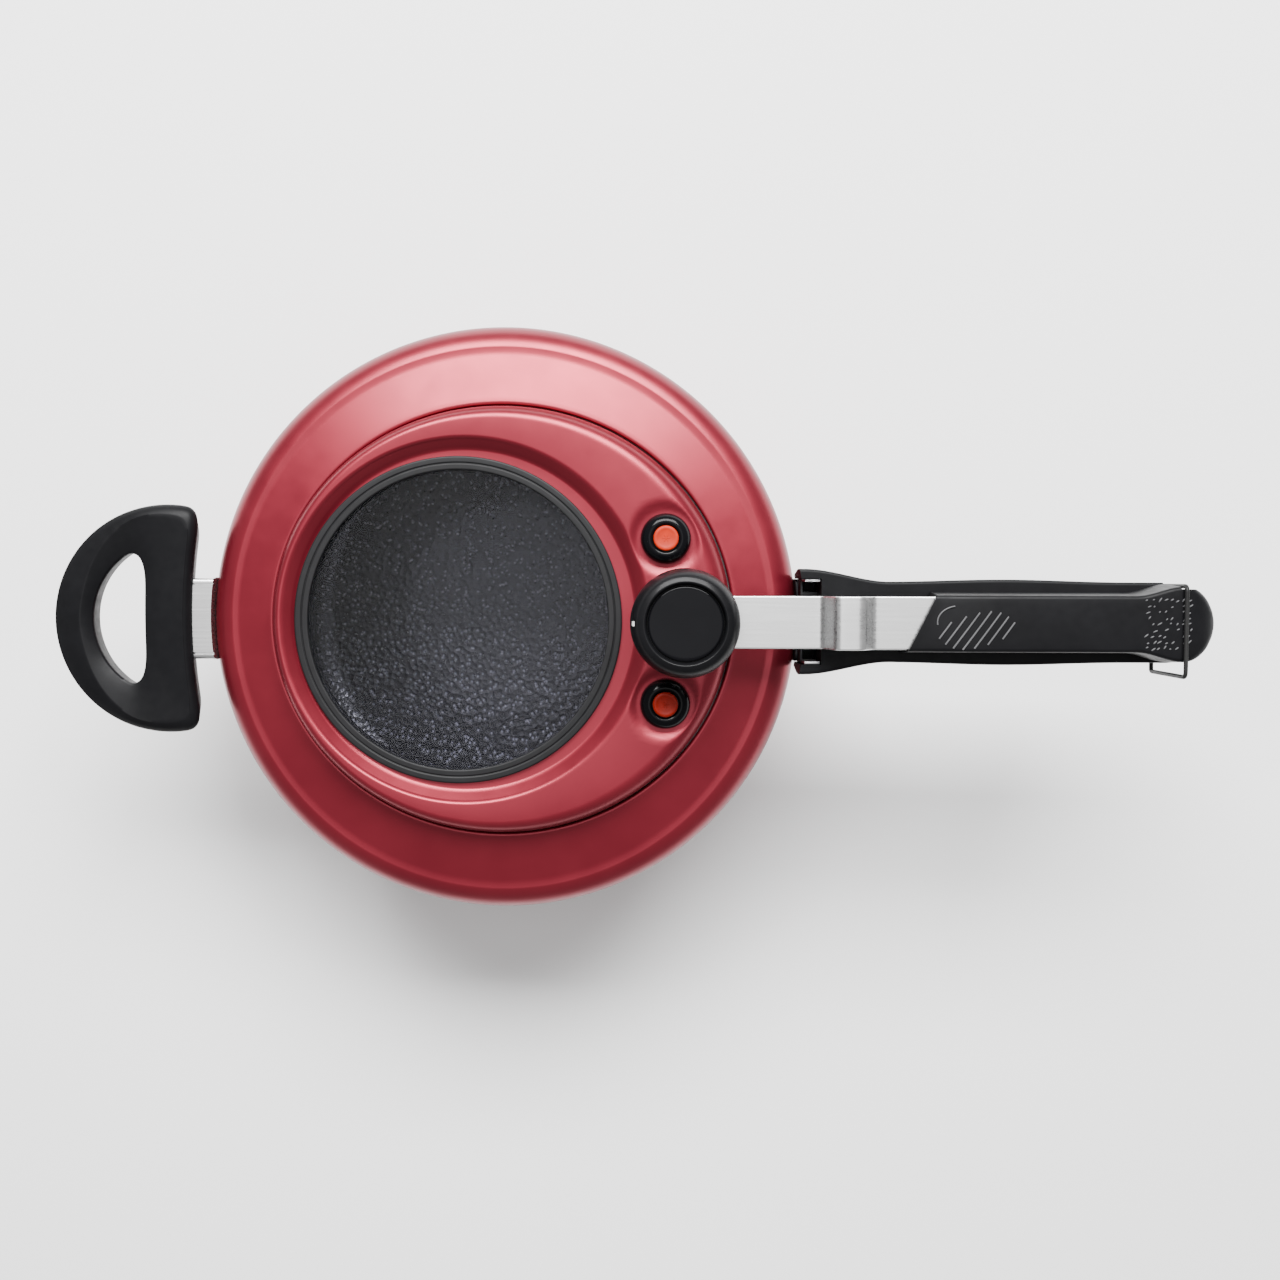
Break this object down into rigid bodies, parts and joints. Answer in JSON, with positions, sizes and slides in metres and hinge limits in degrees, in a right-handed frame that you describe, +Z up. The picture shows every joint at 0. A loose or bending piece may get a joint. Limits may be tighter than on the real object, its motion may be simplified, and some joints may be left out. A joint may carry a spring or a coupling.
{
  "type": "pressure cooker",
  "caption": "Long-handled pressure cooker with an oval inner-fit lid, a round glass window, a clamping lever, a turning regulator knob, valves and a helper handle.",
  "frame": {"origin": "centre of the pot's flat base, on the surface it stands on", "axes": "+Z up; +X from the pot axis toward the end of the long handles; +Y across the handles"},
  "size_m": [0.4635, 0.24, 0.16],
  "materials": {
    "pot_enamel": "satin metallic red lacquer",
    "lid_enamel": "satin metallic red lacquer",
    "steel": "brushed",
    "bright_steel": "bright turned",
    "strap_steel": "polished and lightly brushed",
    "handle_plastic": "satin thermoset",
    "knob_plastic": "semi gloss",
    "knob_gloss": "high gloss",
    "seal_rubber": "matt silicone",
    "window_rubber": "matt silicone",
    "window_glass": "clear toughened",
    "valve_orange": "semi gloss",
    "valve_red": "semi gloss",
    "wire_black": "blackened wire",
    "mark_white": "satin"
  },
  "bodies": {
    "pot": {"pot_body": "pot_enamel", "body_bracket": "steel", "body_bracket_nuts": "bright_steel", "body_handle": "handle_plastic", "body_handle_screws": "bright_steel", "fulcrum_hook": "steel", "fulcrum_rivets": "bright_steel", "helper_bracket": "steel", "helper_bracket_nuts": "bright_steel", "helper_handle": "handle_plastic", "helper_screws": "bright_steel"},
    "lid": {"lid_shell": "lid_enamel", "lid_gasket": "seal_rubber", "window_gasket": "window_rubber", "window_glass": "window_glass", "window_clamp_ring": "steel", "window_clamp_screws": "bright_steel", "vent_post": "steel", "vent_post_nut": "bright_steel", "vent_filter": "steel", "vent_collar_nut": "bright_steel", "indicator_surround": "knob_plastic", "indicator_nut": "bright_steel", "safety_surround": "knob_plastic", "safety_nut": "bright_steel", "safety_spring": "bright_steel"},
    "indicator": {"indicator_pin": "valve_orange", "indicator_collar": "bright_steel"},
    "safety": {"safety_plug": "valve_red", "safety_collar": "bright_steel"},
    "regulator": {"regulator_weight": "steel", "regulator_screw": "bright_steel"},
    "knob": {"knob_shell": "knob_plastic", "knob_cap": "knob_gloss", "knob_mark": "mark_white"},
    "lever": {"lever_strap": "strap_steel", "lid_handle": "handle_plastic", "strap_rivets": "bright_steel"},
    "bail": {"lock_bail": "wire_black"}
  },
  "joints": [
    {"name": "lever_lift", "type": "hinge", "parent": "pot", "child": "lever", "pos_m": [0.1358, 0, 0.14205], "axis": [0, -1, 0], "range_deg": [0, 7]},
    {"name": "lid_drop", "type": "slide", "parent": "pot", "child": "lid", "axis": [0, 0, -1], "range_m": [0, 0.0066]},
    {"name": "lock_bail_swing", "type": "hinge", "parent": "pot", "child": "bail", "pos_m": [0.264, 0, 0.112], "axis": [0, 1, 0], "range_deg": [0, 110]},
    {"name": "regulator_lift", "type": "slide", "parent": "lid", "child": "regulator", "axis": [0, 0, 1], "range_m": [0, 0.03]},
    {"name": "knob_turn", "type": "hinge", "parent": "regulator", "child": "knob", "pos_m": [0.0725, 0, 0.15], "axis": [0, 0, 1], "range_deg": [-60, 60]},
    {"name": "indicator_rise", "type": "slide", "parent": "lid", "child": "indicator", "axis": [0, 0, 1], "range_m": [0, 0.0043]},
    {"name": "safety_lift", "type": "slide", "parent": "lid", "child": "safety", "axis": [0, 0, 1], "range_m": [0, 0.003], "stiffness_N_per_m": 2000, "springref_m": -0.002, "deforming": ["safety_spring"]}
  ],
  "couplings": [
    {"joint": "lid_drop", "follows": "lever_lift", "m_per_rad": 0.054},
    {"joint": "lock_bail_swing", "follows": "lever_lift", "ratio": 15.714}
  ]
}
